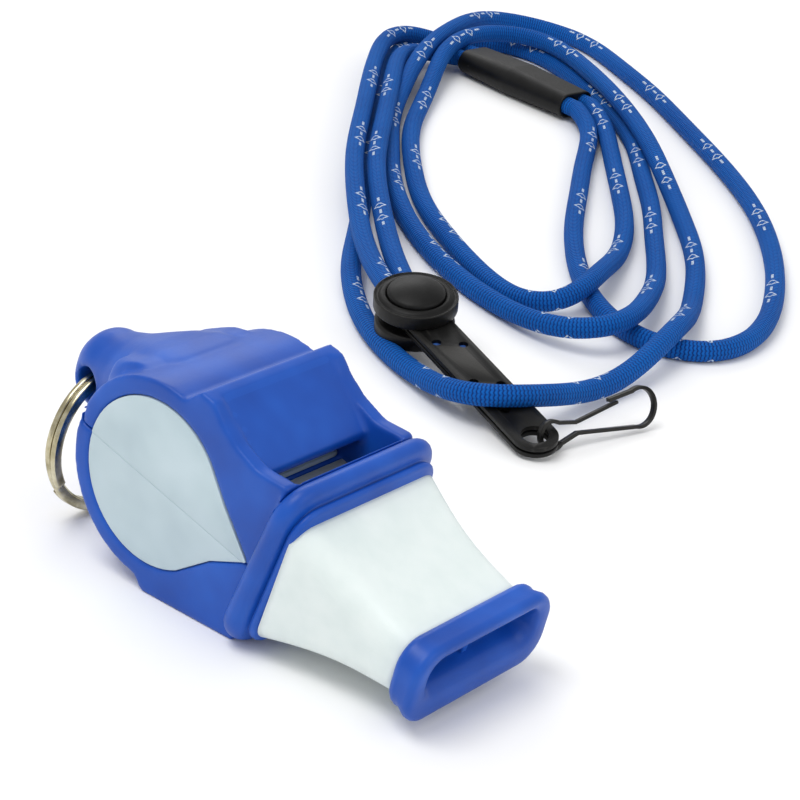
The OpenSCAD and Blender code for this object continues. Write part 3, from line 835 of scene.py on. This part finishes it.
def make_ring():
    """The wire's two turns lie side by side, and it crosses from one to the other in the middle."""
    low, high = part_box("split_ring")
    centre = (Vector(low) + Vector(high)) / 2
    radius = (RING_D - RING_WIRE) / 2
    wire = outline((RING_WIRE - 0.02) / 2, -(RING_TURN - 0.04) / 2, (RING_TURN - 0.04) / 2, 0.3, 3)
    steps = 220
    rings = []
    for k in range(steps + 1):
        turn = RING_WOUND * k / steps
        side = max(-1.0, min(1.0, (turn - RING_WOUND / 2) / RING_CROSSING))
        shift = (RING_TURN / 2 + 0.02) * side
        angle = RING_START + turn
        out = Vector((0, math.cos(angle), math.sin(angle)))
        rings.append([out * (radius + across) + Vector((shift + along, 0, 0)) for across, along in wire])
    bm = bmesh.new()
    skin(bm, rings)
    mesh = mesh_from(bm, "ring", Matrix.Translation(centre) @ Matrix.Scale(MM, 4))
    ring = new_object("split_ring_wire", mesh, "ring", ("split_ring",))
    bevel = ring.modifiers.new("ends", "BEVEL")
    bevel.width = 0.06 * MM
    bevel.segments = 1
    bevel.limit_method = "ANGLE"
    bevel.angle_limit = math.radians(50)
    dress(applied(ring), NICKEL)


make_ring()


# ---- the lanyard's fittings
sleeve = moulded("slider_sleeve", ("slider_barrel",), "slider", SLEEVE_VOXEL, SLEEVE_PASSES)
cap = edged("clamp_rim", "clamp_cap", "lanyard", 0.35, 3)
button = edged("clamp_dome", "clamp_button", "lanyard", 0.3, 3)
under = edged("clamp_foot", "clamp_base", "lanyard", 0.5, 3)
for fitting in (sleeve, cap, button, under):
    dress(fitting, BLACK)
dress(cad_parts["clamp_rivet"], NICKEL)
dress(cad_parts["cord_tails"], TAIL_KNIT)
leaves = [edged(node + "_leaf", node, "lanyard", 0.18, 2)
          for node in ("strap_upper", "strap_lower")]
for leaf in leaves:
    dress(leaf, STRAP)
frame_wire = edged("hook_wire", "hook_frame", "hook", 0.14, 2)
gate_wire = edged("hook_spring", "hook_gate", "gate", 0.14, 2)
for wire in (frame_wire, gate_wire):
    dress(wire, HOOK)

[v * MM for v in ROUTE[0]]
[list(p * MM) for p in cord_line]


# ---- floor and light
def make_stage():
    """A wide, nearly white floor."""
    bm = bmesh.new()
    bmesh.ops.create_grid(bm, x_segments=1, y_segments=1, size=6)
    mesh = bpy.data.meshes.new("floor")
    bm.to_mesh(mesh)
    bm.free()
    floor = bpy.data.objects.new("floor", mesh)
    bpy.context.collection.objects.link(floor)
    paint = Paint("studio_floor")
    drift = paint.noise(400, 2)
    tone = paint.ramp(drift, (0.3, (0.95, 0.95, 0.95)), (0.7, (0.97, 0.97, 0.97)))
    dress(floor, paint.finish(Base_Color=tone, Roughness=0.9))


def soft_light(name, at, size, power):
    """A rectangular lamp of the given width and height, pointed between whistle and lanyard."""
    data = bpy.data.lights.new(name, "AREA")
    data.shape = "RECTANGLE"
    data.size = size[0]
    data.size_y = size[1]
    data.energy = power
    light = bpy.data.objects.new(name, data)
    bpy.context.collection.objects.link(light)
    direction = Vector(LAMP_AIM) - Vector(at)
    light.matrix_world = Matrix.Translation(at) @ direction.to_track_quat("-Z", "Y").to_matrix().to_4x4()


LAMP_AIM = (-0.02, 0.06, 0.01)
WORLD_LIGHT = 0.66

make_stage()
soft_light("key", (-0.15, -0.25, 0.75), size=(0.5, 0.4), power=3.0)
soft_light("fill", (0.7, 0.1, 0.45), size=(0.6, 0.5), power=1.0)
soft_light("rim", (-0.6, 0.5, 0.5), size=(0.5, 0.4), power=1.2)
world = bpy.data.worlds.new("studio")
bpy.context.scene.world = world
world.use_nodes = True
background = world.node_tree.nodes["Background"]
background.inputs["Color"].default_value = (1, 1, 1, 1)
background.inputs["Strength"].default_value = WORLD_LIGHT
bpy.context.scene.view_settings.view_transform = "Standard"
